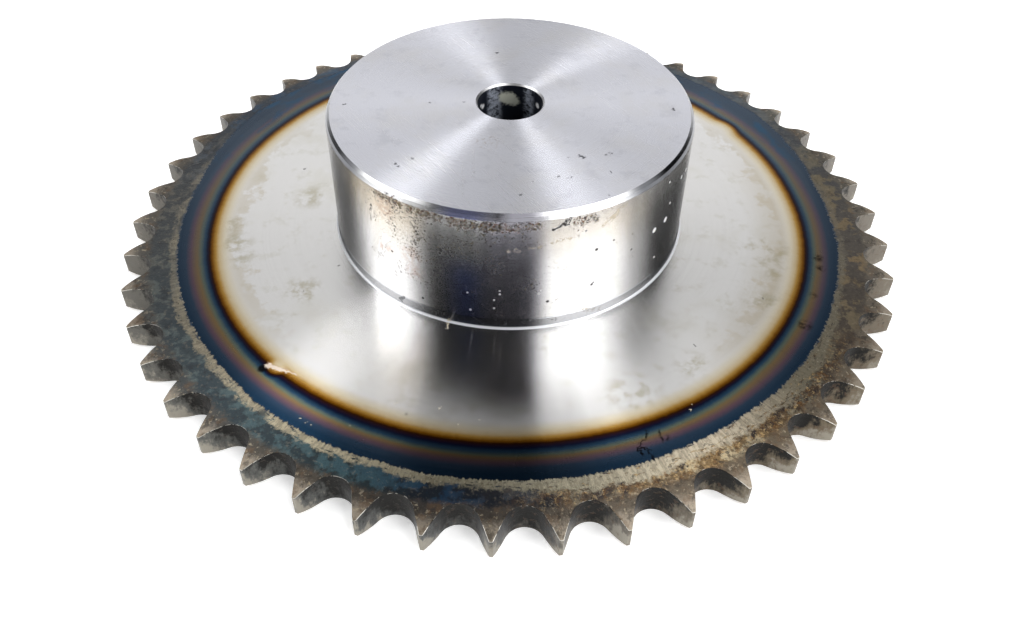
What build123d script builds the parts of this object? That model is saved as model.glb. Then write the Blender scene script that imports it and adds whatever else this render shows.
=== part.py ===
from build123d import *
from math import degrees, pi, radians, sin, sqrt
import os

# Plate-wheel sprocket with a hub on one side, for 5/8 x 3/8 inch roller chain.
# All sizes in millimetres. The wheel lies on its back face: Z is the axis of
# rotation, the origin is on that axis in the back face, the hub points to +Z
# and one tooth points along +X.

# chain and toothing
pitch = 15.875              # chain pitch
roller_diameter = 10.16     # chain roller
teeth = 47
tip_diameter = 244.7
seat_factor = 0.518         # roller seat radius as a share of the roller diameter
seat_angle = 125.5          # degrees of seat arc round the roller
flank_radius = 190.0        # convex flank, from the seat arc out to the tip
gap_clearance = 1.0         # how far a gap is cut beyond the tip circle
rim_width = 9.1             # thickness of the plate and the teeth
relief_depth = 1.4          # side relief at the tooth tip, on each face
relief_radius = 16.0        # arc of the side relief

# hub
hub_diameter = 111.5
overall_length = 50.0       # back face to hub face
hub_fillet = 0.6            # corner between the plate and the hub
land_height = 3.4           # low band above the plate, where the finishing cut stopped
land_step = 0.12            # how far that band stands proud of the hub
edge_upper_in = 0.8         # upper facet of the hub edge: inwards
edge_upper_down = 0.85      # and downwards
edge_lower_in = 0.5         # lower facet of the hub edge: inwards
edge_lower_down = 0.95      # and downwards

# bore
bore_diameter = 20.0
bore_chamfer = 0.5

# derived sizes
pitch_radius = pitch / (2 * sin(pi / teeth))
seat_radius = seat_factor * roller_diameter
tip_radius = tip_diameter / 2
hub_radius = hub_diameter / 2
bore_radius = bore_diameter / 2
tooth_angle = 360 / teeth


def rim_lines(corner_out):
    """Back face, relieved rim and front face of the plate, ending at the hub corner."""
    relief_run = sqrt(2 * relief_radius * relief_depth - relief_depth**2)
    foot = tip_radius - relief_run
    low_tip = (tip_radius, relief_depth)
    high_tip = (tip_radius, rim_width - relief_depth)
    Line((bore_radius + bore_chamfer, 0), (foot, 0))
    RadiusArc((foot, 0), low_tip, -relief_radius)
    Line(low_tip, high_tip)
    RadiusArc(high_tip, (foot, rim_width), -relief_radius)
    Line((foot, rim_width), corner_out)


def hub_lines(corner_out):
    """Corner fillet, low band, hub side, faceted edge, hub face and chamfered bore."""
    land_radius = hub_radius + land_step
    corner_up = (land_radius, rim_width + hub_fillet)
    edge_middle = hub_radius - edge_lower_in
    edge_middle_height = overall_length - edge_upper_down
    RadiusArc(corner_out, corner_up, hub_fillet)
    Polyline(
        corner_up,
        (land_radius, rim_width + land_height - land_step),
        (hub_radius, rim_width + land_height),
        (hub_radius, edge_middle_height - edge_lower_down),
        (edge_middle, edge_middle_height),
        (edge_middle - edge_upper_in, overall_length),
        (bore_radius + bore_chamfer, overall_length),
        (bore_radius, overall_length - bore_chamfer),
        (bore_radius, bore_chamfer),
        (bore_radius + bore_chamfer, 0),
    )


def turned_blank():
    """Plate and hub turned from one piece, before the teeth are cut."""
    corner_out = (hub_radius + land_step + hub_fillet, rim_width)
    with BuildPart() as blank:
        with BuildSketch(Plane.XZ):
            with BuildLine():
                rim_lines(corner_out)
                hub_lines(corner_out)
            make_face()
        revolve(axis=Axis.Z)
    return blank.part


def tooth_gap():
    """One gap on +X: roller seat arc and two convex flanks, open beyond the tips."""
    centre = Vector(pitch_radius, 0)
    inward = Vector(-seat_radius, 0)
    reach = tip_radius + gap_clearance - pitch_radius + seat_radius
    flank_length = reach / sin(radians(seat_angle / 2))
    flank_turn = degrees(flank_length / flank_radius)
    ends = []
    with BuildSketch() as gap:
        with BuildLine():
            for side in (1, -1):
                seat_end = centre + inward.rotate(Axis.Z, -side * seat_angle / 2)
                spoke = (seat_end - centre).normalized() * flank_radius
                flank = [
                    seat_end + spoke - spoke.rotate(Axis.Z, side * share * flank_turn)
                    for share in (0, 0.5, 1)
                ]
                ThreePointArc(*flank)
                ends.append(flank)
            ThreePointArc(ends[0][0], centre + inward, ends[1][0])
            Line(ends[0][-1], ends[1][-1])
        make_face()
    return gap.sketch


def toothed_wheel():
    """The blank with its tooth gaps cut right through the rim."""
    with BuildPart() as wheel:
        add(turned_blank())
        with BuildSketch():
            with PolarLocations(0, teeth, start_angle=tooth_angle / 2):
                add(tooth_gap())
        extrude(amount=2 * rim_width, both=True, mode=Mode.SUBTRACT)
    return wheel.part


os.makedirs("parts", exist_ok=True)
export_step(toothed_wheel(), "parts/sprocket.step")
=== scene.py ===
from math import acos, atan2, cos, hypot, pi, radians, sin, sqrt

import bmesh
import bpy
from mathutils import Matrix, Vector


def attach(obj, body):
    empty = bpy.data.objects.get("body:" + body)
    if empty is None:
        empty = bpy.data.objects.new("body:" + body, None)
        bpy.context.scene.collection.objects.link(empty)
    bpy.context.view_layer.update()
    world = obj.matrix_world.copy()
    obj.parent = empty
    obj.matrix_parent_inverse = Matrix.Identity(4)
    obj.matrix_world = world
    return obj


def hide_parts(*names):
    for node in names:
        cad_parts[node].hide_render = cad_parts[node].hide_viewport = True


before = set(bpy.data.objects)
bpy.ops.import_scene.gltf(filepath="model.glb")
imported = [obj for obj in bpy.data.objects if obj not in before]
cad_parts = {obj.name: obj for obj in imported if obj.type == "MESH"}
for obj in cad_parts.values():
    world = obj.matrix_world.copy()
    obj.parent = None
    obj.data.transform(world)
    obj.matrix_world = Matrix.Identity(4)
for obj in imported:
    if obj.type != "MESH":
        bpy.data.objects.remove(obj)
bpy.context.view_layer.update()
print("frame loaded")

mm = 0.001
scene = bpy.context.scene


class Flow:
    # a node's output that can be used in arithmetic
    def __init__(self, graph, socket):
        self.graph = graph
        self.socket = socket

    def __add__(self, other):
        return self.graph.math("ADD", self, other)

    def __radd__(self, other):
        return self.graph.math("ADD", other, self)

    def __sub__(self, other):
        return self.graph.math("SUBTRACT", self, other)

    def __rsub__(self, other):
        return self.graph.math("SUBTRACT", other, self)

    def __mul__(self, other):
        # times 1 needs no node
        return self if other == 1 else self.graph.math("MULTIPLY", self, other)

    def __rmul__(self, other):
        return self.graph.math("MULTIPLY", other, self)


class Graph:
    # builds the nodes of one material or world
    def __init__(self, owner):
        owner.use_nodes = True
        self.tree = owner.node_tree
        self.tree.nodes.clear()

    def node(self, kind, settings=None, sockets=None, out=0):
        made = self.tree.nodes.new("ShaderNode" + kind)
        for name, value in (settings or {}).items():
            if name == "stops":
                self.fillRamp(made.color_ramp, value)
            else:
                setattr(made, name, value)
        for name, value in (sockets or {}).items():
            if isinstance(value, Flow):
                self.tree.links.new(value.socket, made.inputs[name])
            else:
                made.inputs[name].default_value = value
        return Flow(self, made.outputs[out]) if made.outputs else made

    def fillRamp(self, ramp, stops):
        while len(ramp.elements) > 1:
            ramp.elements.remove(ramp.elements[-1])
        for index, (place, colour) in enumerate(stops):
            element = ramp.elements[0] if index == 0 else ramp.elements.new(place)
            element.position = place
            element.color = colour

    def math(self, operation, first, second=0.5):
        return self.node("Math", {"operation": operation}, {0: first, 1: second})

    def most(self, flows):
        # the largest of several values
        found = flows[0]
        for flow in flows[1:]:
            found = self.math("MAXIMUM", found, flow)
        return found

    def vector(self, operation, first, second=(0.0, 0.0, 0.0), out="Vector"):
        return self.node("VectorMath", {"operation": operation}, {0: first, 1: second}, out)

    def scaled(self, vector, factor):
        return self.node("VectorMath", {"operation": "SCALE"}, {0: vector, "Scale": factor})

    def turned(self, vector, angle):
        # turned about the upright axis, in degrees
        sockets = {"Vector": vector, "Angle": radians(angle)}
        return self.node("VectorRotate", {"rotation_type": "Z_AXIS"}, sockets)

    def split(self, vector):
        apart = self.node("SeparateXYZ", None, {0: vector})
        return [Flow(self, socket) for socket in apart.socket.node.outputs]

    def join(self, x, y, z):
        return self.node("CombineXYZ", None, {0: x, 1: y, 2: z})

    def direction(self, x, y):
        # in degrees, from the X axis
        return self.math("ARCTAN2", y, x) * (180 / pi)

    def mix(self, mask, first, second):
        # colours may be "#rrggbb"; the colour result is the node's third output
        first, second = [tone(c) if isinstance(c, str) else c for c in (first, second)]
        return self.node("Mix", {"data_type": "RGBA"}, {0: mask, 6: first, 7: second}, out=2)

    def ease(self, value, low, high):
        # 0 at low, 1 at high, smooth between
        return self.node(
            "MapRange", {"interpolation_type": "SMOOTHSTEP"},
            {"Value": value, "From Min": low, "From Max": high},
        )

    def band(self, value, low, high, soft):
        return self.ease(value, low - soft, low + soft) * (1 - self.ease(value, high - soft, high + soft))

    def noise(self, vector, scale=1.0, detail=2.0, rough=0.5):
        return self.node(
            "TexNoise", None,
            {"Vector": vector, "Scale": scale, "Detail": detail, "Roughness": rough},
        )


def tone(code):
    # "#rrggbb" as it looks on screen, as a linear colour
    parts = [int(code[i:i + 2], 16) / 255 for i in (1, 3, 5)]
    return tuple(c / 12.92 if c < 0.04045 else ((c + 0.055) / 1.055) ** 2.4 for c in parts) + (1.0,)


def spot(angle, radius, height):
    # a place on the wheel, in millimetres, from its angle in degrees and its distance to the axis
    return (radius * cos(radians(angle)), radius * sin(radians(angle)), height)


studio = {
    "cameraPlace": (-0.00224, -0.23884, 0.19876),
    "cameraTurn": (51.005, -0.627, 0.028),  # degrees
    "lens": 32.295,
    "shiftX": 0.0041,
    "shiftY": -0.0952,
    "sensor": 36.0,
    "floorSize": 3.0,
    "paper": "#f6f6f6",
    "paperRough": 0.9,
    "paperGlow": 0.45,
    "light": "#ffffff",
    "sky": 1.1,
    "darkest": 0.004,
    "soft": 7.0,  # degrees over which a panel fades out, each way
    "panels": [  # azimuth of the middle, half width, lowest, highest, change of strength
        (190, 16, 15, 56, 1.9),
        (-39, 26, 8, 80, 2.2),
        (-109, 38, -30, 63, -1.11),
        (32, 27, -30, 52, -1.12),
        (141, 19, -30, 55, -1),
        (84, 9, 58, 80, -0.6),
    ],
    "ceiling": (58, 12, -1),  # height of its edge, how soft that is, change of strength
    "lamps": [  # azimuth, height, half width, how soft its edge is, strength
        (150, 58, 5, 4, 9.5),
        (10, 71, 5, 4, 11),
    ],
}


def addCamera():
    data = bpy.data.cameras.new("camera")
    data.lens = studio["lens"]
    data.sensor_width = studio["sensor"]
    data.shift_x = studio["shiftX"]
    data.shift_y = studio["shiftY"]
    camera = bpy.data.objects.new("camera", data)
    camera.location = studio["cameraPlace"]
    camera.rotation_euler = [radians(a) for a in studio["cameraTurn"]]
    scene.collection.objects.link(camera)
    scene.camera = camera


def addSky():
    world = bpy.data.worlds.new("studio")
    scene.world = world
    g = Graph(world)
    way = g.node("TexCoord", out="Generated")
    height = g.math("ARCSINE", g.split(way)[2]) * (180 / pi)
    edge, soft, change = studio["ceiling"]
    strength = studio["sky"] + g.ease(height, edge - soft, edge + soft) * change
    soft = studio["soft"]
    for middle, wide, low, high, change in studio["panels"]:
        x, y = g.split(g.turned(way, -middle))[:2]
        aside = g.direction(x, y)
        strength = strength + g.band(aside, -wide, wide, soft) * g.band(height, low, high, soft) * change
    for azimuth, lift, wide, soft, change in studio["lamps"]:
        place = spot(azimuth, cos(radians(lift)), sin(radians(lift)))
        near = g.vector("DOT_PRODUCT", way, place, out="Value")
        strength = strength + g.ease(near, cos(radians(wide + soft)), cos(radians(wide))) * change
    strength = g.most([strength, studio["darkest"]])
    seen = g.node("LightPath", out="Is Camera Ray")
    sky = g.node("Background", None, {"Color": tone(studio["light"]), "Strength": strength})
    plain = g.node("Background", None, {"Color": tone(studio["light"]), "Strength": 1.0})
    both = g.node("MixShader", None, {0: seen, 1: sky, 2: plain})
    g.node("OutputWorld", None, {"Surface": both})


def addFloor():
    mesh = bpy.data.meshes.new("floor")
    bm = bmesh.new()
    bmesh.ops.create_grid(bm, x_segments=1, y_segments=1, size=studio["floorSize"])
    bm.to_mesh(mesh)
    bm.free()
    floor = bpy.data.objects.new("floor", mesh)
    scene.collection.objects.link(floor)
    material = bpy.data.materials.new("palePaper")
    g = Graph(material)
    shader = g.node("BsdfPrincipled", None, {
        "Base Color": tone(studio["paper"]), "Roughness": studio["paperRough"],
        "Emission Color": tone(studio["light"]), "Emission Strength": studio["paperGlow"],
    })
    g.node("OutputMaterial", None, {"Surface": shader})
    mesh.materials.append(material)


addCamera()
addSky()
addFloor()
scene.view_settings.view_transform = "Standard"
print("studio set")


wheel = {
    "teeth": 47,
    "pitch": 15.875 * mm,
    "seatRadius": 5.263 * mm,
    "seatAngle": 125.5,
    "flankRadius": 190.0 * mm,
    "tipRadius": 122.35 * mm,
    "rimWidth": 9.1 * mm,
    "reliefDepth": 1.4 * mm,
    "reliefRadius": 16.0 * mm,
    "joinRadius": 98.0 * mm,  # where the toothed ring meets the turned body
    "columns": 5,  # across half a tooth
    "plainRows": 4,  # from the join out to the gaps' bottoms
    "seatRows": 8,
    "flankRows": 8,
    "wallCuts": 3,
    "filletSteps": 6,
    "edgeWear": 0.22 * mm,
    "wornFrom": 113.0 * mm,  # edges nearer the axis stay sharp
    "wornTurn": 0.6,  # radians between the faces of an edge that is worn
    "sharpTurn": radians(11),  # edges that turn more are shaded sharp
    "closeBy": 1e-6,  # vertices closer than this are merged
    "hubRadius": 55.75 * mm,
    "length": 50.0 * mm,
    "landStep": 0.12 * mm,
    "landHeight": 3.4 * mm,
    "fillet": 0.6 * mm,
    "edgeUpper": (0.8 * mm, 0.85 * mm),
    "edgeLower": (0.5 * mm, 0.95 * mm),
    "boreRadius": 10.0 * mm,
    "boreChamfer": 0.5 * mm,
}


zones = {
    "toothedFrom": 112.0 * mm,  # distance to the axis
    "wallFacing": 0.25,  # the tooth gaps' walls face up or down less than this
    "edgeFacing": 0.88,  # and their worn edges less than this
    "faceDepth": 0.2 * mm,
    "boreTo": 11.0 * mm,
    "plateRise": 0.01 * mm,
}


def gapEdge(radius):
    # angle from a gap's middle to its wall, at this distance from the axis
    w = wheel
    pitchRadius = w["pitch"] / (2 * sin(pi / w["teeth"]))
    seat, flank = w["seatRadius"], w["flankRadius"]
    turn = radians(w["seatAngle"]) / 2
    seatEnd = hypot(pitchRadius - seat * cos(turn), seat * sin(turn))
    if radius <= seatEnd:
        share = (pitchRadius ** 2 + radius ** 2 - seat ** 2) / (2 * pitchRadius * radius)
        return acos(min(1.0, share))
    reach = seat + flank
    centreX, centreY = pitchRadius - reach * cos(turn), reach * sin(turn)
    away = hypot(centreX, centreY)
    share = (away ** 2 + radius ** 2 - flank ** 2) / (2 * away * radius)
    return atan2(centreY, centreX) - acos(share)


def ringRows():
    # distances from the axis of the toothed ring's rows, from the join out to the tip
    w = wheel
    pitchRadius = w["pitch"] / (2 * sin(pi / w["teeth"]))
    seat = w["seatRadius"]
    root = pitchRadius - seat
    rows = [w["joinRadius"] + (root - w["joinRadius"]) * i / w["plainRows"] for i in range(w["plainRows"])]
    for i in range(w["seatRows"] + 1):
        turn = radians(w["seatAngle"]) / 2 * i / w["seatRows"]
        rows.append(hypot(pitchRadius - seat * cos(turn), seat * sin(turn)))
    seatEnd = rows[-1]
    rows += [seatEnd + (w["tipRadius"] - seatEnd) * (i + 1) / w["flankRows"] for i in range(w["flankRows"])]
    return root, rows


def faceHeight(radius):
    # the plate's front face, which curves down near the tip
    w = wheel
    run = sqrt(2 * w["reliefRadius"] * w["reliefDepth"] - w["reliefDepth"] ** 2)
    past = max(0.0, radius - (w["tipRadius"] - run))
    return w["rimWidth"] - w["reliefRadius"] + sqrt(w["reliefRadius"] ** 2 - past ** 2)


def addToothedRing(bm):
    w = wheel
    root, rows = ringRows()
    half = pi / w["teeth"]
    steps = len(rows) - 1
    grid = bmesh.ops.create_grid(bm, x_segments=w["columns"], y_segments=steps, size=0.5)["verts"]
    for vert in grid:
        radius = rows[round((vert.co.y + 0.5) * steps)]
        start = gapEdge(radius) if radius > root else 0.0
        angle = start + (half - start) * (vert.co.x + 0.5)
        vert.co = Vector((radius * cos(angle), radius * sin(angle), faceHeight(radius)))
    bmesh.ops.mirror(bm, geom=bm.verts[:] + bm.edges[:] + bm.faces[:], merge_dist=1e-7, axis="Y")
    bmesh.ops.rotate(bm, verts=bm.verts[:], matrix=Matrix.Rotation(half, 3, "Z"))
    bmesh.ops.spin(
        bm, geom=bm.verts[:] + bm.edges[:] + bm.faces[:], axis=(0, 0, 1),
        angle=2 * half * (w["teeth"] - 1), steps=w["teeth"] - 1, use_duplicate=True,
    )
    bmesh.ops.remove_doubles(bm, verts=bm.verts[:], dist=w["closeBy"])
    copy = bmesh.ops.duplicate(bm, geom=bm.verts[:] + bm.edges[:] + bm.faces[:])["geom"]
    under = [g for g in copy if isinstance(g, bmesh.types.BMVert)]
    bmesh.ops.scale(bm, verts=under, vec=(1, 1, -1))
    bmesh.ops.translate(bm, verts=under, vec=(0, 0, w["rimWidth"]))
    outline = [e for e in bm.edges if e.is_boundary and e.verts[0].co.xy.length > root - 1e-5]
    walls = bmesh.ops.bridge_loops(bm, edges=outline)["edges"]
    bmesh.ops.subdivide_edges(bm, edges=walls, cuts=w["wallCuts"], use_grid_fill=True)


def turnedProfile():
    # the section from the join over the hub and through the bore to the join's underside
    w = wheel
    width, length = w["rimWidth"], w["length"]
    land = w["hubRadius"] + w["landStep"]
    points = [(w["joinRadius"], width)]
    for i in range(w["filletSteps"] + 1):
        turn = pi / 2 * i / w["filletSteps"]
        points.append((land + w["fillet"] * (1 - sin(turn)), width + w["fillet"] * (1 - cos(turn))))
    upperIn, upperDown = w["edgeUpper"]
    lowerIn, lowerDown = w["edgeLower"]
    bore, chamfer = w["boreRadius"], w["boreChamfer"]
    points += [
        (land, width + w["landHeight"] - w["landStep"]),
        (w["hubRadius"], width + w["landHeight"]),
        (w["hubRadius"], length - upperDown - lowerDown),
        (w["hubRadius"] - lowerIn, length - upperDown),
        (w["hubRadius"] - lowerIn - upperIn, length),
        (bore + chamfer, length),
        (bore, length - chamfer),
        (bore, chamfer),
        (bore + chamfer, 0.0),
        (w["joinRadius"], 0.0),
    ]
    return points


def addTurnedBody(bm):
    w = wheel
    verts = [bm.verts.new((radius, 0.0, height)) for radius, height in turnedProfile()]
    edges = [bm.edges.new(pair) for pair in zip(verts, verts[1:])]
    bmesh.ops.spin(
        bm, geom=verts + edges, axis=(0, 0, 1), angle=2 * pi,
        steps=2 * w["columns"] * w["teeth"], use_merge=True,
    )


def zoneOf(face):
    # which finish a face takes
    z = zones
    centre = face.calc_center_median()
    radius = centre.xy.length
    facing = face.normal.z
    if radius > z["toothedFrom"] and abs(facing) < z["wallFacing"]:
        return "toothWalls"
    if radius > z["toothedFrom"] and abs(facing) < z["edgeFacing"]:
        return "wornEdgesAndHighlight"
    if centre.z > wheel["length"] - z["faceDepth"] and radius > z["boreTo"]:
        return "hubFace"
    if radius < z["boreTo"]:
        return "bore"
    if centre.z > wheel["rimWidth"] + z["plateRise"]:
        return "hubSide"
    if facing < 0:
        return "back"
    return "plate"


def putInOrder(elements, place):
    # bevel leaves its vertices and faces in an order that changes from run to run
    elements.index_update()
    rank = {item.index: at for at, item in enumerate(sorted(elements, key=place))}
    elements.sort(key=lambda item: rank[item.index])


def buildWheel(finishes):
    w = wheel
    bm = bmesh.new()
    addToothedRing(bm)
    addTurnedBody(bm)
    bmesh.ops.remove_doubles(bm, verts=bm.verts[:], dist=w["closeBy"])
    bmesh.ops.recalc_face_normals(bm, faces=bm.faces[:])
    corners = [
        e for e in bm.edges
        if e.verts[0].co.xy.length > w["wornFrom"] and len(e.link_faces) == 2
        and e.calc_face_angle() > w["wornTurn"]
    ]
    bmesh.ops.bevel(
        bm, geom=corners, offset=w["edgeWear"], segments=2, profile=0.5, affect="EDGES",
        material=-1, clamp_overlap=True,
    )
    order = {zone: index for index, zone in enumerate(finishes)}
    for face in bm.faces:
        face.smooth = True
        face.material_index = order[zoneOf(face)]
    for edge in bm.edges:
        if len(edge.link_faces) == 2 and edge.calc_face_angle() > w["sharpTurn"]:
            edge.smooth = False
    putInOrder(bm.verts, lambda vert: vert.co[:])
    putInOrder(bm.faces, lambda face: sorted(vert.co[:] for vert in face.verts))
    print("open edges", sum(1 for e in bm.edges if len(e.link_faces) != 2), "faces", len(bm.faces))
    mesh = bpy.data.meshes.new("sprocketWheel")
    bm.to_mesh(mesh)
    bm.free()
    for material in finishes.values():
        mesh.materials.append(material)
    piece = bpy.data.objects.new("sprocketWheel", mesh)
    scene.collection.objects.link(piece)
    return piece


shaking = {
    "scale": 1.1,
    "detail": 3.0,
    "reach": 2.2,  # millimetres that an outline wanders
}


class Spot:
    # the coordinates that a finish is painted in, in millimetres and degrees about the bore's axis, and
    # the marks and noises that its settings name
    def __init__(self, g, settings):
        self.g = g
        self.settings = settings
        self.point = g.scaled(g.node("TexCoord", out="Object"), 1 / mm)
        self.x, self.y, self.z = g.split(self.point)
        flat = g.vector("MULTIPLY", self.point, (1.0, 1.0, 0.0))
        self.radius = g.vector("LENGTH", flat, out="Value")
        self.wayX, self.wayY = g.split(g.vector("NORMALIZE", flat))[:2]
        self.angle = g.direction(self.x, self.y)
        # the same place shaken a little, for marks with ragged outlines
        sockets = {"Vector": self.point, "Scale": shaking["scale"], "Detail": shaking["detail"]}
        shake = g.node("TexNoise", None, sockets, out="Color")
        shake = g.vector("SUBTRACT", shake, (0.5, 0.5, 0.5))
        self.bent = g.vector("ADD", self.point, g.scaled(shake, shaking["reach"]))

    def byAngle(self, name, angle):
        # a colour that changes round the wheel
        stops = [((at + 180) / 360, tone(colour)) for at, colour in self.settings[name]]
        return self.g.node("ValToRGB", {"stops": stops}, {0: (angle + 180) * (1 / 360)})

    def toward(self, name):
        # 1 on the side of the wheel that lies at an angle
        angle, low, high = self.settings["ways"][name]
        lean = self.wayX * cos(radians(angle)) + self.wayY * sin(radians(angle))
        return self.g.ease(lean, low, high)

    def sector(self, name):
        # 1 from one angle to another
        start, end, soft = self.settings["sectors"][name]
        return self.g.band(self.angle, start, end, soft)

    def around(self, name):
        # noise that follows the circle
        perRadian, perMillimetre, detail, rough, shift = self.settings["circles"][name]
        at = self.g.join(self.wayX * perRadian, self.wayY * perRadian, self.radius * perMillimetre + shift)
        return self.g.noise(at, 1.0, detail, rough)

    def lathe(self, name):
        # noise in turning lines round a cylinder
        perRadian, perMillimetre, detail, rough = self.settings["lathe"][name]
        at = self.g.join(self.wayX * perRadian, self.wayY * perRadian, self.z * perMillimetre)
        return self.g.noise(at, 1.0, detail, rough)

    def stretched(self, name, point):
        # noise with its own scale along each axis
        scales, detail, rough = self.settings["stretched"][name]
        return self.g.noise(self.g.vector("MULTIPLY", point, scales), 1.0, detail, rough)

    def cloud(self, name):
        # noise that is alike in every direction
        scale, detail, rough, shift = self.settings["clouds"][name]
        at = self.g.vector("ADD", self.point, (shift, -shift, shift * 0.5))
        return self.g.noise(at, scale, detail, rough)

    def past(self, name, value=None):
        # 0 to 1 between limits, for a value or else the cloud of that name
        low, high = self.settings["limits"][name]
        return self.g.ease(value or self.cloud(name), low, high)

    def paint(self, colour, name, mask):
        # another colour where the mask is 1
        tint, amount = self.settings["paints"][name]
        return self.g.mix(mask * amount, colour, tint)

    def layer(self, colour, name, value=None, mask=1):
        # another colour where a value, or else the cloud of that name, is past its limits
        tint, low, high, amount = self.settings["layers"][name]
        return self.g.mix(self.g.ease(value or self.cloud(name), low, high) * mask * amount, colour, tint)

    def path(self, places, width):
        # a line through several places
        return self.g.most([self.stroke(start, end, width) for start, end in zip(places, places[1:])])

    def dab(self, centre, size, soft, ragged=False):
        # 1 within size of a place, fading over soft
        far = self.g.vector("DISTANCE", self.bent if ragged else self.point, centre, out="Value")
        return 1 - self.g.ease(far, size - soft, size + soft)

    def dabs(self, marks, soft, height):
        # several marks at once: (x, y, size) in millimetres
        return self.g.most([self.dab((x, y, height), size, soft, True) for x, y, size in marks])

    def stroke(self, start, end, width):
        # 1 along a straight line between two places
        g = self.g
        start, end = Vector(start), Vector(end)
        along = end - start
        away = g.vector("SUBTRACT", self.bent, tuple(start))
        share = g.vector("DOT_PRODUCT", away, tuple(along / along.length_squared), out="Value")
        share = g.node("Clamp", None, {0: share})
        far = g.vector("DISTANCE", away, g.scaled(tuple(along), share), out="Value")
        return 1 - g.ease(far, width * 0.4, width)


def onHub(angle, height):
    return spot(angle, wheel["hubRadius"] / mm, height)


def newFinish(name, settings):
    material = bpy.data.materials.new(name)
    g = Graph(material)
    return material, g, Spot(g, settings)


def addShader(g, f, colour, metal, rough, height):
    # height is the surface's small relief
    strength, depth = f["bump"]
    bump = g.node("Bump", None, {"Strength": strength, "Distance": depth, "Height": height})
    sockets = {"Base Color": colour, "Metallic": metal, "Roughness": rough, "Normal": bump}
    if "grain" in f:  # of turned steel, along the tool's path
        sockets["Anisotropic"], sockets["Anisotropic Rotation"] = f["grain"]
    shader = g.node("BsdfPrincipled", None, sockets)
    g.node("OutputMaterial", None, {"Surface": shader})


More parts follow.
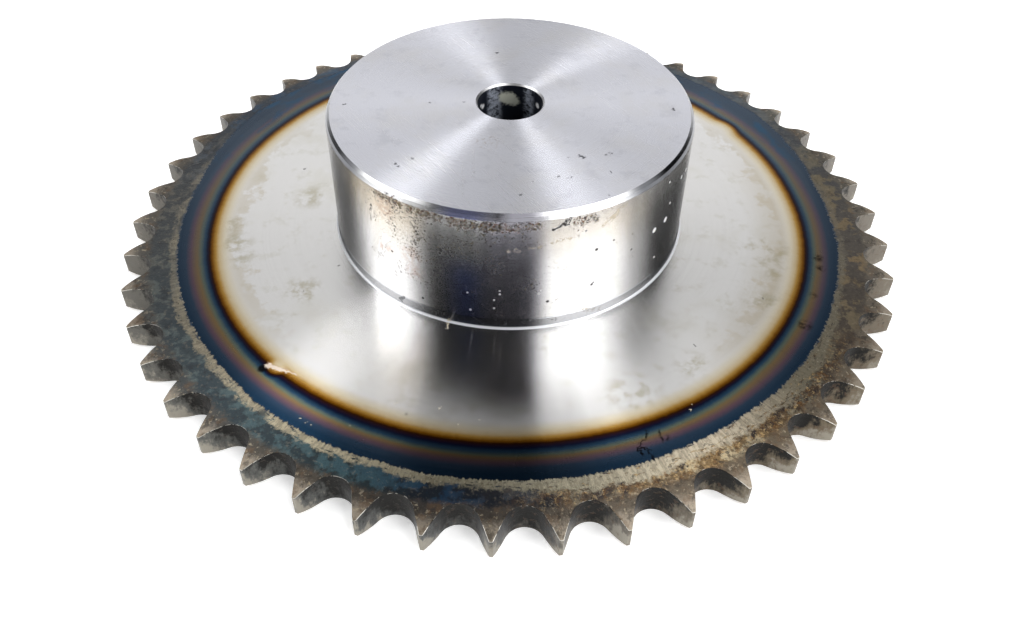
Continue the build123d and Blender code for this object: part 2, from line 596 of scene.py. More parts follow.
# In each finish: clouds are (scale, detail, roughness, shift), circles (features per radian and per
# millimetre outward, detail, roughness, shift), ways (angle, from, to), sectors (from, to, softness),
# limits (from, to), layers (colour, from, to, how much) and paints (colour, how much).
plateFinish = {
    "steel": "#d4d3d2",
    "rough": 0.2,
    "grain": (1, 0.25),  # how strong, and its turn as a share of a circle
    "bump": (0.5, 0.2 * mm),  # how strong, and how far 1 stands out
    "clouds": {
        "smear": (0.05, 4, 0.6, 11), "grime": (0.16, 5, 0.7, 45), "film": (0.13, 4, 0.62, 51),
        "patch": (0.2, 4, 0.62, 3), "fine": (0.75, 4, 0.7, 9), "grain": (1.9, 3, 0.7, 37),
        "wander": (0.12, 3, 0.6, 27), "apart": (0.11, 3, 0.5, 71), "rust": (0.42, 5, 0.75, 41),
        "soot": (0.28, 5, 0.7, 53), "crumbs": (1, 4, 0.75, 83), "toothStain": (0.4, 5, 0.7, 15),
        "bronze": (0.3, 4, 0.7, 91), "stain": (0.24, 4, 0.6, 5), "grit": (1.6, 3, 0.65, 7),
    },
    "circles": {
        "rings": (1.2, 5, 3, 0.6, 0), "drift": (1.6, 0, 2, 0.5, 4), "strokes": (130, 0.3, 3, 0.7, 2),
        "ringEdge": (60, 0.3, 3, 0.7, 12), "haze": (3, 0.4, 3, 0.6, 21), "blued": (7, 0.18, 4, 0.6, 77),
        "streak": (200, 0.1, 3, 0.7, 31), "streakGap": (5, 0.5, 2, 0.5, 9), "uneven": (9, 0, 3, 0.6, 6),
        "worn": (30, 0.9, 4, 0.7, 13), "broken": (11, 0.25, 3, 0.6, 57),
    },
    "ways": {
        "brown": (-15, 0.75, 1), "filmRight": (-4, 0.6, 0.9), "filmLeft": (186, 0.7, 0.95),
        "forward": (-96, 0.6, 0.96), "toFront": (-86, 0.9, 0.99), "toRight": (-60, 0.84, 0.97),
        "scrape": (-98, 0.76, 0.97),
    },
    "limits": {
        "brown": (76, 90), "film": (85.5, 89), "smear": (0.5, 0.8), "drift": (0, 45),
        "tinted": (95.5, 99), "haze": (0.45, 0.75), "dust": (-85, 40), "blued": (0.5, 0.62),
        "bluedBack": (10, 50), "streak": (0.6, 0.72), "streakGap": (0.5, 0.6), "apart": (0.48, 0.6),
        "rust": (0.48, 0.62), "soot": (0.54, 0.62), "bronze": (0.5, 0.62), "tooth": (112.8, 115.6),
        "scrapeBack": (5, 60), "scale": (0.2, 0.9), "scrapeInner": (-0.2, 0.25),
        "scrapeOuter": (-0.5, 0.7), "worn": (0.36, 0.46), "broken": (0.44, 0.58), "faint": (-80, 15),
        "brokenBack": (10, 50), "dry": (-0.1, 0.5), "stain": (0.42, 0.64), "stainEnd": (90, 93),
        "blot": (0.62, 0.42),
    },
    "layers": {
        "ringShade": ("#c2c1c1", 0.35, 0.7, 0.16), "smear": ("#c9c6ba", 0.48, 0.72, 0.4),
        "grime": ("#b9b6a8", 0.52, 0.68, 0.3), "blue": ("#1f4763", 99, 102, 0.7),
        "paleCrumb": ("#b79a69", 0.46, 0.36, 0.75), "darkCrumb": ("#35230f", 0.54, 0.6, 0.7),
        "scalePit": ("#1c1815", 0.54, 0.68, 1), "scaleFleck": ("#a89a82", 0.46, 0.32, 1),
        "toothTip": ("#b0a493", 116.6, 121.2, 0.85), "toothStain": ("#322d28", 0.5, 0.62, 0.65),
        "toothPaintedSparkle": ("#c2b49a", 0.46, 0.32, 0.6), "scaleGrain": ("#1b1815", 0.5, 0.7, 0.2),
        "scrapeStroke": ("#5f5848", 0.44, 0.58, 0.5), "scrapePit": ("#39352c", 0.56, 0.66, 0.7),
        "scrapePaintedSparkle": ("#d6cbb2", 0.42, 0.3, 0.35),
    },
    "paints": {
        "brown": ("#aea38c", 0.5), "film": ("#b3a78e", 0.4), "dust": ("#48525e", 1),
        "frontPaintedShade": ("#03060c", 0.5), "streak": ("#11151c", 0.35), "rust": ("#6a4820", 0.8),
        "soot": ("#1b161b", 1), "toothRust": ("#6e563f", 0.45), "stain": ("#948b66", 0.5),
        "gapBlack": ("#060505", 0.95), "gapPale": ("#e6d6c6", 0.85), "blot": ("#16100f", 0.85),
        "ink": ("#050507", 0.95), "darkChip": ("#2c2a28", 1), "paleChip": ("#cbbfa4", 0.9),
    },
    "tint": [  # heat colours, by distance to the axis
        (88, "#d4d3d2"), (91.5, "#c9c0ac"), (93, "#bba884"), (94, "#a07c3c"), (95, "#6c4408"),
        (95.8, "#260f03"), (96.8, "#0a0f26"), (98, "#223c50"), (99, "#566054"), (100, "#705c3c"),
        (101.5, "#58434c"), (103, "#28384a"), (105, "#162c40"),
    ],
    "rim": [  # scale outside the tint, by angle
        (-180, "#454748"), (-135, "#2d3a40"), (-114, "#17272c"), (-96, "#111924"), (-82, "#27272a"),
        (-64, "#7f6743"), (-46, "#3c3126"), (-8, "#4f4a44"), (35, "#383f47"), (150, "#363d46"),
        (180, "#454748"),
    ],
    "rimPatch": [  # the scale's second colour, in patches
        (-180, "#64615a"), (-135, "#4a5a5c"), (-114, "#355057"), (-98, "#12324c"), (-82, "#4c463c"),
        (-66, "#c3b492"), (-46, "#57564b"), (-10, "#7c6a4e"), (8, "#6c6350"), (35, "#4c5458"),
        (150, "#2f4860"), (180, "#64615a"),
    ],
    "teeth": [  # the teeth's faces, by angle
        (-180, "#625d56"), (-140, "#464a4b"), (-118, "#4e473e"), (-98, "#3e3a37"), (-78, "#5c5347"),
        (-58, "#675b4a"), (-8, "#6a645b"), (40, "#4c4b48"), (180, "#625d56"),
    ],
    "scrape": [  # bare ragged ring where the scale begins, by angle
        (-180, "#8b8475"), (-142, "#8f8672"), (-118, "#b0a68c"), (-98, "#77725f"), (-80, "#96907c"),
        (-62, "#c2b6a0"), (-44, "#6e6857"), (0, "#6c665a"), (30, "#45494e"), (150, "#4a5158"),
        (180, "#918979"),
    ],
    "scrapeStart": 105.6,
    "scrapeWidth": 2.4,
    "coilGap": (-131.6, 95.8, 2.4),  # angle, distance to the axis, size
    "coilBump": (31, 94.5, 4),
    "gapTail": [
        ((-132.9, 96.3), (-131.8, 95.5), 1.15), ((-131.8, 95.5), (-130.6, 94.7), 1),
        ((-130.6, 94.7), (-129.4, 94), 0.75), ((-129.4, 94), (-128, 93.4), 0.5),
    ],
    "gapSoot": (-133, 97.9, 1.3),
    "stains": [
        (-86, -20.5, 5), (-83, -26, 4), (-89, -11, 3.5), (33.5, -80, 7), (38.5, -82.5, 4), (81, -21, 6.5),
        (81.5, -29, 5), (75, -44, 5), (-61, -41, 5), (-66, 4, 5), (50, -69, 4),
    ],
    "darkChips": [
        (-26.6, -86.4, 0.35), (75.3, -43, 0.3), (-60.8, -41.3, 0.3), (-52, -30, 0.25), (52, -62, 0.25),
        (3.8, -75, 0.25), (-71, 20, 0.4),
    ],
    "paleChips": [
        (-17.9, -84.6, 0.3), (-13, -90.1, 0.25), (-7.4, -88.4, 0.2), (-29.5, -83.1, 0.25),
        (47.3, -84.7, 0.3), (48, -82.9, 0.2), (-40.7, -90.2, 0.2), (-53.6, -88.5, 0.2),
        (-51.9, -89.5, 0.18), (-50.2, -90.4, 0.2),
    ],
    "scrapeGap": (-126.2, 107.8, 1.6),
    "hubChip": ((-107.9, 56), (-107.4, 58.8), 0.5),
    "blots": [(-32.2, 100.6, 1.9), (-14.3, 99.6, 1.5), (-17, 100.4, 1.2), (-24.5, 99.6, 1)],
    "inkWidth": 0.42,
    "scribbles": [
        [(-68.9, 98), (-69.8, 100.1), (-70.8, 100.9), (-71.6, 102.4), (-71.3, 104.4)],
        [(-70.6, 103.1), (-70.1, 104.6), (-70.4, 106.7)], [(-67.3, 99.1), (-67.5, 100.4), (-67.7, 102.3)],
        [(-66.7, 101.4), (-66.9, 102.8)], [(-71.2, 102.2), (-69.9, 103.4)],
    ],
}


def makePlateFinish(name, marked):
    f = plateFinish
    material, g, s = newFinish(name, f)
    height = wheel["rimWidth"] / mm if marked else 0.0

    def onPlate(angle, away):
        return spot(angle, away, height)

    # turned steel with faint rings and smears, a little brown toward the right
    rings = s.around("rings")
    smear = s.cloud("smear")
    steel = s.layer(f["steel"], "ringShade", rings)
    steel = s.layer(steel, "smear", smear)
    steel = s.layer(steel, "grime")
    steel = s.paint(steel, "brown", s.toward("brown") * s.past("brown", s.radius))
    sides = g.most([s.toward("filmRight"), s.toward("filmLeft")])
    filmed = s.past("film", s.radius + (s.cloud("film") - 0.5) * 30.0)
    steel = s.paint(steel, "film", filmed * sides)
    rough = f["rough"] + (rings - 0.5) * 0.02 + s.past("smear", smear) * 0.04

    # heat tint, in rings that wander a little
    drift = (s.around("drift") - 0.5) * 1.2 + s.past("drift", s.y) * 0.7
    strokes = s.around("strokes")
    ring = s.radius - drift + (s.around("ringEdge") - 0.5) * 0.6
    if marked:
        angle, away, size = f["coilGap"]
        ring = ring - 2.0 * s.dab(onPlate(angle, away), size, size * 0.6)
        angle, away, size = f["coilBump"]
        ring = ring - 1.6 * s.dab(onPlate(angle, away), size, size * 0.8)
    forward = s.toward("forward")
    ring = ring + g.band(ring, 96.6, 100.0, 1.0) * (0.5 - forward * 0.95)
    tintStart, tintEnd = f["tint"][0][0], f["tint"][-1][0]
    stops = [((place - tintStart) / (tintEnd - tintStart), tone(colour)) for place, colour in f["tint"]]
    across = (ring - tintStart) * (1 / (tintEnd - tintStart))
    oxide = g.node("ValToRGB", {"stops": stops}, {0: across})
    colour = g.mix(g.ease(ring, tintStart, tintStart + 3.5), steel, oxide)
    tinted = s.past("tinted", ring)
    haze = s.past("haze", s.around("haze"))
    dusty = haze * 0.15 + s.past("dust", s.y) * 0.42
    colour = s.paint(colour, "dust", tinted * dusty)
    blued = s.past("blued", s.around("blued")) * s.past("bluedBack", s.y)
    colour = s.layer(colour, "blue", ring, blued)
    # painted shade: the heat tint darkened toward near black on the side toward the front
    colour = s.paint(colour, "frontPaintedShade", tinted * s.toward("toFront"))
    streak = s.past("streak", s.around("streak")) * s.past("streakGap", s.around("streakGap"))
    colour = s.paint(colour, "streak", tinted * streak)
    rough = rough + tinted * 0.06

    # the rim outside the tint: scale, soot and rust, different round the wheel
    patch = s.cloud("patch")
    fine = s.cloud("fine")
    grain = s.cloud("grain")
    wander = s.angle + (s.cloud("wander") - 0.5) * 24.0
    toRight = s.toward("toRight")
    apart = s.past("apart", patch + (s.cloud("apart") - 0.5) * 0.8)
    scale = g.mix(apart * 0.9, s.byAngle("rim", wander), s.byAngle("rimPatch", wander))
    scale = s.paint(scale, "rust", s.past("rust") * toRight)
    scale = s.paint(scale, "soot", s.past("soot") * (0.35 + toRight * 0.6))
    crumbs = s.cloud("crumbs")
    scale = s.layer(scale, "paleCrumb", crumbs, toRight)
    scale = s.layer(scale, "darkCrumb", crumbs, toRight)
    scale = s.layer(scale, "scalePit", fine, 0.3 + toRight * 0.3)
    scale = s.layer(scale, "scaleFleck", fine, 0.15 + toRight * 0.25)
    bare = s.byAngle("teeth", s.angle)
    bare = s.layer(bare, "toothTip", s.radius + (fine - 0.5) * 6.0)
    bare = s.layer(bare, "toothStain")
    # painted highlights: fine pale sparkles on the teeth's faces
    bare = s.layer(bare, "toothPaintedSparkle", fine)
    bare = s.paint(bare, "toothRust", s.past("bronze"))
    onTooth = s.past("tooth", s.radius + (fine - 0.5) * 5.0 + (patch - 0.5) * 4.0)
    scale = g.mix(onTooth, scale, bare)
    scale = s.layer(scale, "scaleGrain", grain)

    # where scale begins, a bare ring with ragged edges of short radial strokes
    uneven = s.around("uneven") - 0.5
    beyond = s.radius - drift * 0.6 - f["scrapeStart"] - (strokes - 0.5) * 2.4 - uneven * 1.6
    beyond = beyond - s.past("scrapeBack", s.y) * 4.0 - s.toward("scrape")
    wide = f["scrapeWidth"] + toRight * 1.8 + uneven * 3.4
    outside = beyond + (fine - 0.5) * 3.6 + (patch - 0.5) * 3.0 - wide
    colour = g.mix(s.past("scale", beyond), colour, scale)
    scrape = s.past("scrapeInner", beyond) * (1 - s.past("scrapeOuter", outside))
    worn = s.past("worn", s.around("worn"))
    scraped = s.layer(s.byAngle("scrape", s.angle), "scrapeStroke", strokes)
    scraped = s.layer(scraped, "scrapePit", fine)
    # painted highlights: pale sparkles over the scraped ring
    scraped = s.layer(scraped, "scrapePaintedSparkle", grain)
    broken = s.past("broken", s.around("broken"))
    faint = s.past("faint", s.y)
    scrape = scrape * (1 - faint * (1 - broken * (0.8 - s.past("brokenBack", s.y) * 0.6)))
    if marked:
        angle, away, size = f["scrapeGap"]
        scrape = scrape * (1 - 0.85 * s.dab(onPlate(angle, away), size, 1.0, ragged=True))
    colour = g.mix(scrape * worn * 0.95, colour, scraped)
    dry = s.past("dry", beyond)
    metal = 1 - dry * 0.45
    rough = rough + dry * (0.16 + 0.1 * onTooth)

    if marked:
        stain = s.dabs(f["stains"], 3.2, height) * s.past("stain")
        stain = stain * (1 - s.past("stainEnd", s.radius))
        colour = s.paint(colour, "stain", stain)
        soot = s.dab(onPlate(*f["gapSoot"][:2]), f["gapSoot"][2], 0.5)
        colour = s.paint(colour, "gapBlack", soot)
        tail = g.most([s.stroke(onPlate(*a), onPlate(*b), wide) for a, b, wide in f["gapTail"]])
        colour = s.paint(colour, "gapPale", tail)
        blots = g.most([s.dab(onPlate(a, r), size, 0.9) for a, r, size in f["blots"]])
        blots = blots * s.past("blot", fine)
        colour = s.paint(colour, "blot", blots)
        ink = g.most([s.path([onPlate(*at) for at in line], f["inkWidth"]) for line in f["scribbles"]])
        colour = s.paint(colour, "ink", ink)
        colour = s.paint(colour, "darkChip", s.dabs(f["darkChips"], 0.2, height))
        start, end, wide = f["hubChip"]
        chip = s.stroke(onPlate(*start), onPlate(*end), wide)
        pale = g.most([s.dabs(f["paleChips"], 0.15, height), chip])
        colour = s.paint(colour, "paleChip", pale)
        metal = metal * (1 - 0.8 * g.most([pale, tail * 0.5]))
    addShader(g, f, colour, metal, rough, (s.cloud("grit") + strokes * 0.3) * dry)
    return material


hubFaceFinish = {
    "steel": "#cccdd5",
    "rough": 0.27,
    "grain": (1, 0.25),
    "bump": (0.02, 0.05 * mm),
    "clouds": {
        "handled": (0.06, 4, 0.6, 0), "smudge": (0.12, 4, 0.65, 33), "scratchField": (0.05, 2, 0.5, 40),
        "speck": (1.4, 3, 0.6, 0), "stain": (0.9, 3, 0.7, 0),
    },
    "circles": {"rings": (1, 7, 3, 0.6, 0)},
    "stretched": {"hair": ((0.035, 1.9, 0), 3, 0.7)},
    "limits": {
        "hair": (0.6, 0.68), "scratchField": (0.46, 0.6), "speck": (0.28, 0.45), "stain": (0.52, 0.62),
    },
    "layers": {
        "ringShade": ("#bbbcc4", 0.35, 0.7, 0.08), "handled": ("#c6c4c2", 0.42, 0.7, 0.35),
        "smudge": ("#b9bac2", 0.52, 0.7, 0.5),
    },
    "paints": {"scratch": ("#f4f4f6", 0.6), "speck": ("#2c2e34", 0.9), "stain": ("#9a8a70", 0.35)},
    "specks": [
        (19.7, -28.7, 0.8), (20.6, -29.2, 0.5), (26.9, -27.9, 0.4), (28.2, -27, 0.35), (16.2, -29.3, 0.3),
        (27.6, -36, 0.35), (26.1, -46.3, 0.35), (16.5, -38.5, 0.4), (13.2, -38, 0.35), (49.2, -3.9, 0.6),
        (-14, -0.8, 0.4), (-24.3, -1.3, 0.35), (-31.6, -33, 0.45), (-30.9, -34.1, 0.35),
        (-27.3, -30.6, 0.45), (2.8, -46.5, 0.35), (-50, -3, 0.4), (15.8, -39, 0.3), (-4.4, 29.5, 0.5),
        (6, -41, 0.2),
    ],
    "brownStain": (-6.5, -22, 3.6),
    "scratchTurn": 54,  # degrees that most of the fine scratches lean
    "scratchWidth": 0.16,
    "scratches": [
        ((-162, 45), (-140, 37)), ((-160, 41), (-141, 40.5)), ((-155, 34.5), (-138, 33)),
        ((-150, 47), (-143, 44)), ((-113, 34), (-106, 46)), ((-112, 28), (-104, 41)),
        ((-108, 24), (-92, 33)), ((-104, 20), (-86, 28)), ((-114, 41), (-101, 53)),
        ((-31, 51), (-24, 36)), ((-28, 30), (-18, 40)), ((8, 25), (18, 41)),
    ],
}


def makeHubFaceFinish():
    f = hubFaceFinish
    material, g, s = newFinish("facedHub", f)
    top = wheel["length"] / mm

    # fine facing rings under cloudy handling marks
    rings = s.around("rings")
    colour = s.layer(f["steel"], "ringShade", rings)
    colour = s.layer(colour, "handled")
    colour = s.layer(colour, "smudge")

    # fine scratches, most of them leaning one way
    hair = s.stretched("hair", g.turned(s.point, f["scratchTurn"]))
    scratched = s.past("hair", hair) * s.past("scratchField") * 0.7
    width = f["scratchWidth"]
    drawn = g.most([s.stroke(spot(*start, top), spot(*end, top), width) for start, end in f["scratches"]])
    scratched = g.most([scratched, drawn * 0.9])
    colour = s.paint(colour, "scratch", scratched)
    specks = s.dabs(f["specks"], 0.25, top) * s.past("speck")
    colour = s.paint(colour, "speck", specks)
    x, y, size = f["brownStain"]
    stain = s.dab((x, y, top), size, 2.0) * s.past("stain")
    colour = s.paint(colour, "stain", stain)
    rough = f["rough"] + (rings - 0.5) * 0.03 + scratched * 0.1 + specks * 0.2
    addShader(g, f, colour, 1 - specks * 0.6, rough, rings + scratched)
    return material


hubSideFinish = {
    "steel": "#dadadb",
    "rustBrown": "#5c2b04",
    "speckDark": "#2a211b",
    "rough": 0.165,
    "grain": (1, 0.25),
    "bump": (0.08, 0.08 * mm),
    "clouds": {
        "dots": (1.5, 3, 0.8, 6), "hue": (0.9, 3, 0.7, 19), "lump": (0.5, 3, 0.6, 2),
        "rustBlack": (1.8, 2, 0.5, 29), "crowd": (0.16, 2, 0.5, 61), "specks": (1.5, 4, 0.8, 47),
        "blotch": (0.7, 3, 0.7, 30),
    },
    "circles": {"facetShadeLine": (30, 0, 3, 0.6, 3)},
    "sectors": {
        "warm": (-148, -114, 6), "cool": (-107, -98, 5), "front": (-97, -82, 4), "crowd": (-134, -84, 8),
        "specks": (-140, -48, 6), "edge": (-137, -56, 7), "facetBlue": (-109, -97, 4),
    },
    "lathe": {"lines": (1.5, 6, 3, 0.6)},
    "stretched": {"turnings": ((0.02, 0.02, 5), 2, 0.6)},
    "limits": {
        "warm": (26, 47), "warmEnd": (48, 48.2), "coolEnd": (26, 38), "lump": (0.28, 0.46),
        "thick": (0.1, 0.5), "dots": (0.48, 0.52), "crowd": (12, 45), "specks": (0.65, 0.68),
        "specksEnd": (48.1, 48.5), "smears": (0.4, 0.6), "pink": (0.35, 0.6), "black": (0.38, 0.44),
        "foot": (12.3, 12.9), "facetShadeLine": (0.4, 0.5), "facets": (48.05, 48.2), "turnings": (0.4, 0.65),
        "fillet": (9.5, 9.75),
    },
    "layers": {
        "lineShade": ("#b6b6ba", 0.4, 0.72, 0.22), "upper": ("#f4f4f4", 36, 46, 0.7),
        "rustOlive": ("#6e5a14", 0.5, 0.6, 1), "rustBlack": ("#0e0907", 0.46, 0.52, 1),
        "speckOlive": ("#6a5c36", 0.5, 0.58, 1),
    },
    "paints": {
        "warm": ("#ddd0b6", 0.45), "cool": ("#7f97ea", 0.7), "front": ("#c0bcdc", 0.4),
        "rustFilm": ("#a3936c", 0.28), "smear": ("#ab9660", 0.55), "stain": ("#b89078", 0.35),
        "pit": ("#1d1a18", 0.9), "black": ("#15100d", 0.95), "nick": ("#f4f4f4", 1),
        "score": ("#d8dcec", 0.6), "foot": ("#86888c", 0.72), "facetShadeLine": ("#3c4048", 0.6),
        "turning": ("#8a8d98", 0.35), "facetPaintedShade": ("#5f6167", 0.88), "facetBlue": ("#7d8ae0", 0.6),
        "fillet": ("#eceef2", 1), "chip": ("#c9bda0", 1),
    },
    "rustAmount": 0.95,
    "speckAmount": 0.85,
    "rust": [  # patches under the edge: angle, height, size
        (-130.6, 47.2, 0.7), (-128.6, 47.2, 0.8), (-126.4, 47.3, 0.9), (-124.2, 47.3, 0.9),
        (-122.2, 47.3, 0.7), (-118.6, 47, 0.9), (-116, 46.9, 1), (-113.6, 46.9, 1), (-111.4, 46.9, 1),
        (-109.2, 46.8, 0.8), (-106.2, 46.6, 1.1), (-104, 46.4, 1.2), (-101.8, 46.6, 1.2), (-100, 46.8, 1),
        (-96.6, 46.5, 1.2), (-94.4, 46.3, 1.2), (-92.2, 46.2, 1.1), (-90.4, 45.9, 0.9), (-88, 46.1, 0.9),
        (-84.6, 46.8, 0.9), (-82.8, 46.6, 1), (-71.2, 46.6, 1), (-69.4, 46, 1), (-67.4, 47, 0.9),
        (-66, 45.6, 0.7),
    ],
    "blackWidth": 0.7,
    "blackLine": [
        [(-78.3, 44.7), (-76.8, 45.3), (-75.9, 46), (-74.3, 46), (-73.6, 47.7)],
        [(-75.2, 46.3), (-74.9, 47.6)],
    ],
    "smears": [
        ((-63.2, 42.6), (-60.2, 44.6), 0.9), ((-60.2, 44.6), (-58.2, 46.4), 1),
        ((-58.2, 46.4), (-56.2, 46.8), 0.6), ((-61.2, 43.4), (-58.6, 44.4), 0.7),
        ((-78.2, 40.2), (-75.6, 40.9), 0.7), ((-75.6, 40.9), (-72.9, 41.2), 0.5),
        ((-84.6, 39), (-81.6, 39.3), 0.6), ((-90.4, 38.2), (-87.6, 38.4), 0.9),
        ((-67.6, 12.5), (-62, 10.9), 1.1),
    ],
    "pink": [
        (-119, 30.2, 3), (-118.3, 24.6, 2.6), (-127.4, 28.4, 1.6), (-130.4, 28.2, 1.2), (-128, 43, 3),
    ],
    "pits": [
        (-64.9, 34.5, 0.42), (-52, 28.9, 0.3), (-65.5, 21.7, 0.38), (-65, 22.3, 0.25), (-78.9, 18.8, 0.4),
        (-109.9, 34.4, 0.4), (-109.4, 35.2, 0.25), (-116.1, 15.2, 0.35), (-133.4, 41.3, 0.35),
        (-133.6, 40, 0.3), (-111.9, 44, 0.3), (-116.9, 39.7, 0.3), (-114.2, 40.8, 0.25),
        (-126.2, 28.4, 0.3), (-59.3, 35.7, 0.25), (-68.8, 42.3, 0.25), (-124.5, 11, 0.45),
        (-123.7, 11.6, 0.5), (-123, 12.2, 0.4), (-123.9, 10.4, 0.3),
    ],
    "nicks": [
        (-42, 30.5, 0.8), (-35.9, 30.7, 0.85), (-27, 40.6, 0.55), (-22, 40, 0.6), (-36.7, 44.7, 0.3),
        (-34.3, 35.8, 0.3), (-39.8, 18.8, 0.3), (-81.5, 22.2, 0.3), (-102, 21.8, 0.22),
        (-101.2, 15.3, 0.3), (-92.7, 23.6, 0.2), (-92.7, 22.3, 0.25), (-94.3, 20, 0.22),
        (-94.3, 16.8, 0.25), (-81, 23.3, 0.2),
    ],
    "facetShadeLines": [(49.08, 49.16, 0.05), (48.16, 48.24, 0.06)],
    "scoreWidth": 0.16,
    "scores": [
        ((-103.4, 31.4), (-99.8, 29.4)), ((-104.2, 24.6), (-101.6, 23.8)), ((-94, 24.4), (-91.8, 23)),
        ((-140.2, 36), (-137.2, 33.6)), ((-93.4, 21.4), (-91.6, 21.2)), ((-108, 22), (-105.6, 21)),
    ],
    "chip": ((-108.1, 9.2), (-108.1, 9.8), 0.5),
    "dulled": [  # on the hub's edge: from and to angle, softness, how much
        (-121, -114, 4, 0.55), (-112, -93, 3, 0.14), (-92, -80, 3, 0.42),
    ],
}


def makeHubSideFinish():
    f = hubSideFinish
    material, g, s = newFinish("turnedHubSide", f)

    def dabsOnHub(marks, soft, ragged=True):
        return g.most([
            s.dab(onHub(angle, height), size, min(soft, size * 0.8), ragged)
            for angle, height, size in marks
        ])

    def lineOnHub(start, end, wide):
        return s.stroke(onHub(*start), onHub(*end), wide)

    # fine turning lines, a warm tint at the upper left, a blue one at the lower front
    lines = s.lathe("lines")
    colour = s.layer(f["steel"], "lineShade", lines)
    colour = s.layer(colour, "upper", s.z)
    warm = s.sector("warm") * s.past("warm", s.z) * (1 - s.past("warmEnd", s.z))
    colour = s.paint(colour, "warm", warm)
    colour = s.paint(colour, "cool", s.sector("cool") * (1 - s.past("coolEnd", s.z)))
    colour = s.paint(colour, "front", s.sector("front"))

    # rust speckles in patches under the edge, and loose specks below
    dots = s.cloud("dots")
    hue = s.cloud("hue")
    thick = dabsOnHub([(angle, height - 0.2, size * 1.4) for angle, height, size in f["rust"]], 1.0)
    thick = thick * s.past("lump")
    rust = s.past("thick", thick) * s.past("dots", dots)
    rusty = s.layer(f["rustBrown"], "rustOlive", hue)
    rusty = s.layer(rusty, "rustBlack")
    colour = s.paint(colour, "rustFilm", thick)
    colour = g.mix(rust * f["rustAmount"], colour, rusty)
    crowd = s.sector("crowd") * s.past("crowd", s.z) * 0.1
    crowd = crowd + (s.cloud("crowd") - 0.5) * 0.4
    specks = s.past("specks", s.cloud("specks") + crowd)
    specks = specks * (1 - s.past("specksEnd", s.z)) * s.sector("specks")
    colour = g.mix(specks * f["speckAmount"], colour, s.layer(f["speckDark"], "speckOlive", hue))

    # smears, stains, pits, a black line and bright nicks
    blotch = s.cloud("blotch")
    smears = g.most([lineOnHub(start, end, wide) for start, end, wide in f["smears"]])
    smears = smears * s.past("smears", blotch)
    colour = s.paint(colour, "smear", smears)
    pink = dabsOnHub(f["pink"], 2.4) * s.past("pink", blotch)
    colour = s.paint(colour, "stain", pink)
    pits = dabsOnHub([(angle, height, size * 1.15) for angle, height, size in f["pits"]], 0.2, False)
    colour = s.paint(colour, "pit", pits)
    black = g.most([s.path([onHub(*at) for at in line], f["blackWidth"]) for line in f["blackLine"]])
    black = black * s.past("black", dots)
    colour = s.paint(colour, "black", black)
    nicks = dabsOnHub(f["nicks"], 0.3, False)
    scores = g.most([lineOnHub(start, end, f["scoreWidth"]) for start, end in f["scores"]])
    chip = lineOnHub(*f["chip"])
    colour = s.paint(colour, "nick", nicks)
    colour = s.paint(colour, "score", scores)

    # the low band, left duller by the tool, and the fine dark line between the edge's facets
    foot = 1 - s.past("foot", s.z)
    colour = s.paint(colour, "foot", foot)
    # painted shade: a fine dark line where the edge's facets meet
    facetShadeLine = g.most([g.band(s.z, low, high, soft) for low, high, soft in f["facetShadeLines"]])
    colour = s.paint(colour, "facetShadeLine", facetShadeLine * s.past("facetShadeLine", s.around("facetShadeLine")))
    facets = s.past("facets", s.z)
    turnings = s.stretched("turnings", s.point)
    colour = s.paint(colour, "turning", facets * s.past("turnings", turnings))
    # painted shade: the edge's facets darkened away from the front
    colour = s.paint(colour, "facetPaintedShade", facets * (1 - s.sector("edge")))
    colour = s.paint(colour, "facetBlue", facets * s.sector("facetBlue"))
    dulled = facets * g.most([
        g.band(s.angle, start, end, soft) * share for start, end, soft, share in f["dulled"]
    ])
    # painted highlight: the fillet at the hub's foot painted near white, for the light it catches from
    # above
    fillet = 1 - s.past("fillet", s.z)
    colour = s.paint(colour, "fillet", fillet)
    colour = s.paint(colour, "chip", chip)
    film = g.most([thick * 0.3, smears * 0.5])
    dirt = g.most([rust, specks, pits, black])
    pale = g.most([nicks * 0.8, scores * 0.3, chip * 0.8, fillet * 0.6, film, dulled, rust * 0.65])
    rough = f["rough"] + (lines - 0.5) * 0.08 + dirt * 0.3 + nicks * 0.4 + foot * 0.04 + fillet * 0.1
    addShader(g, f, colour, 1 - pale, rough, lines)
    return material


boreFinish = {
    "dark": "#1a1e2a",
    "rough": 0.3,
    "bump": (0.2, 0.1 * mm),
    "clouds": {"blotch": (0.55, 4, 0.7, 8)},
    "lathe": {"lines": (3, 2.5, 4, 0.65)},
    "limits": {"edgeTop": (49.3, 49.55), "edgeBottom": (0.45, 0.7), "blotch": (0.36, 0.56)},
    "layers": {"drillLine": ("#23262e", 0.42, 0.7, 0.5)},
    "paints": {"bright": ("#c2c9d8", 1), "oil": ("#c9cbbd", 0.9), "edge": ("#e4e4e6", 1)},
    "paintedLightBands": [(-140, 9), (-50, 9), (53, 9), (120, 13)],  # angle, half width
    "oil": [(101, 45.4, 1.7), (92, 44.8, 2.3), (82, 43.8, 1.6)],  # angle, height, size
    "glints": [(148, 44.6, 0.8), (154, 45.4, 0.5), (31, 45.2, 0.9)],
}


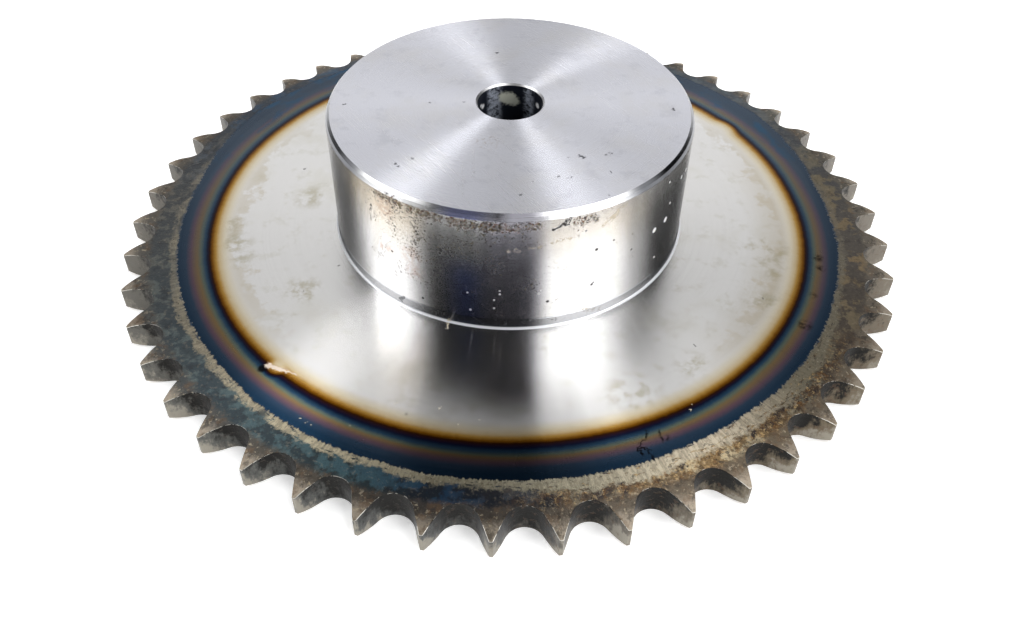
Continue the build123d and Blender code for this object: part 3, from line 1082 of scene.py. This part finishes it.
def makeBoreFinish():
    f = boreFinish
    material, g, s = newFinish("drilledBore", f)
    lines = s.lathe("lines")
    edge = g.most([s.past("edgeTop", s.z), 1 - s.past("edgeBottom", s.z)])

    # painted light: smooth bright bands that run down the bore, broken by fine drill rings
    turn = s.angle + (lines - 0.5) * 18.0
    paintedLightBands = g.most([g.band(turn, at - half, at + half, 6.0) for at, half in f["paintedLightBands"]])
    colour = s.paint(f["dark"], "bright", paintedLightBands * s.past("blotch"))
    colour = s.layer(colour, "drillLine", lines)

    def marks(key, soft, ragged):
        radius = wheel["boreRadius"] / mm
        return g.most([
            s.dab(spot(angle, radius, height), size, soft, ragged) for angle, height, size in f[key]
        ])

    # a pale olive patch on the far wall near the top
    oil = marks("oil", 0.7, True)
    colour = s.paint(colour, "oil", oil)
    # painted highlights: small glints on the far wall, painted near white like the bore's edges
    glints = marks("glints", 0.4, False)
    colour = s.paint(colour, "edge", g.most([edge, glints]))
    metal = 0.4 + edge * 0.6 - g.most([oil, glints]) * 0.35
    addShader(g, f, colour, metal, f["rough"] + lines * 0.12, lines)
    return material


toothFinish = {
    "dark": "#191816",
    "rough": 0.38,
    "metal": 0.85,
    "bump": (0.4, 0.3 * mm),
    "middleHeight": 4.6,
    "middleRadius": 118,
    "clouds": {"blotch": (0.7, 4, 0.7, 63), "rust": (0.55, 4, 0.7, 17), "wearAndHighlight": (0.7, 3, 0.65, 23)},
    "ways": {"toFront": (-98, 0.7, 0.97), "toRight": (-48, 0.55, 0.9), "forward": (-92, 0.3, 0.8)},
    "stretched": {"fine": ((1.6, 1.6, 0.4), 4, 0.72), "broad": ((0.25, 0.25, 0.16), 3, 0.6)},
    "limits": {"rust": (0.54, 0.64), "wearAndHighlightTip": (117.5, 122), "wearAndHighlight": (0.5, 0.58)},
    "layers": {"light": ("#959084", 0.14, 0.55, 0.85)},
    "paints": {"rust": ("#5a3d1e", 1), "wearAndHighlight": ("#dedbd2", 0.9)},
    "around": [  # the walls' own colour, by angle
        (-180, "#65615a"), (-125, "#565754"), (-98, "#4a4b4a"), (-62, "#6a6152"), (-45, "#6b604f"),
        (0, "#777168"), (90, "#5a5b5a"), (180, "#65615a"),
    ],
}


def makeToothFinish(name, worn):
    f = toothFinish
    material, g, s = newFinish(name, f)

    # painted shade and light: dark at the top of the gaps, brighter toward the bottom and the tips, with
    # more contrast toward the front, and faint cutter marks
    fine = s.stretched("fine", s.point)
    broad = s.stretched("broad", s.point)
    blotch = s.cloud("blotch")
    toFront = s.toward("toFront")
    toRight = s.toward("toRight")
    forward = s.toward("forward")
    lit = (broad - 0.5) * (1.0 + forward * 1.2) + (blotch - 0.5) * 0.6
    lit = lit + (fine - 0.5) * (0.3 + forward * 0.5)
    lit = lit + (f["middleHeight"] - s.z) * (0.03 + forward * 0.07)
    lit = lit + (s.radius - f["middleRadius"]) * (0.06 + forward * 0.05) - toFront * 0.04
    walls = s.byAngle("around", s.angle)
    colour = g.mix(g.ease(lit, -0.34, 0.17 - (1 - forward) * 0.14), f["dark"], walls)
    colour = s.layer(colour, "light", lit)

    # rust spots, most of them on the right
    rust = s.past("rust")
    colour = s.paint(colour, "rust", rust * (0.1 + toRight * 0.3))
    rough = f["rough"] + broad * 0.1 + rust * 0.1
    metal = f["metal"] - rust * 0.4
    if worn:
        # the worn bare edges painted near white, partly wear and partly a painted highlight, more of it
        # toward the tips
        wearAndHighlight = s.cloud("wearAndHighlight") + s.past("wearAndHighlightTip", s.radius) * 0.16
        wearAndHighlight = s.past("wearAndHighlight", wearAndHighlight)
        colour = s.paint(colour, "wearAndHighlight", wearAndHighlight)
        rough = rough - wearAndHighlight * 0.1
    addShader(g, f, colour, metal, rough, fine * 0.5 + blotch * 0.6 - rust * 0.3)
    return material


finishes = {
    "plate": makePlateFinish("turnedPlate", True),
    "hubFace": makeHubFaceFinish(),
    "hubSide": makeHubSideFinish(),
    "bore": makeBoreFinish(),
    "toothWalls": makeToothFinish("cutTeeth", False),
    "back": makePlateFinish("turnedBack", False),
    "wornEdgesAndHighlight": makeToothFinish("wornEdgesAndHighlight", True),
}
print("finishes made")
sprocket = buildWheel(finishes)
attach(sprocket, "root")
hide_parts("sprocket")
print("wheel built")
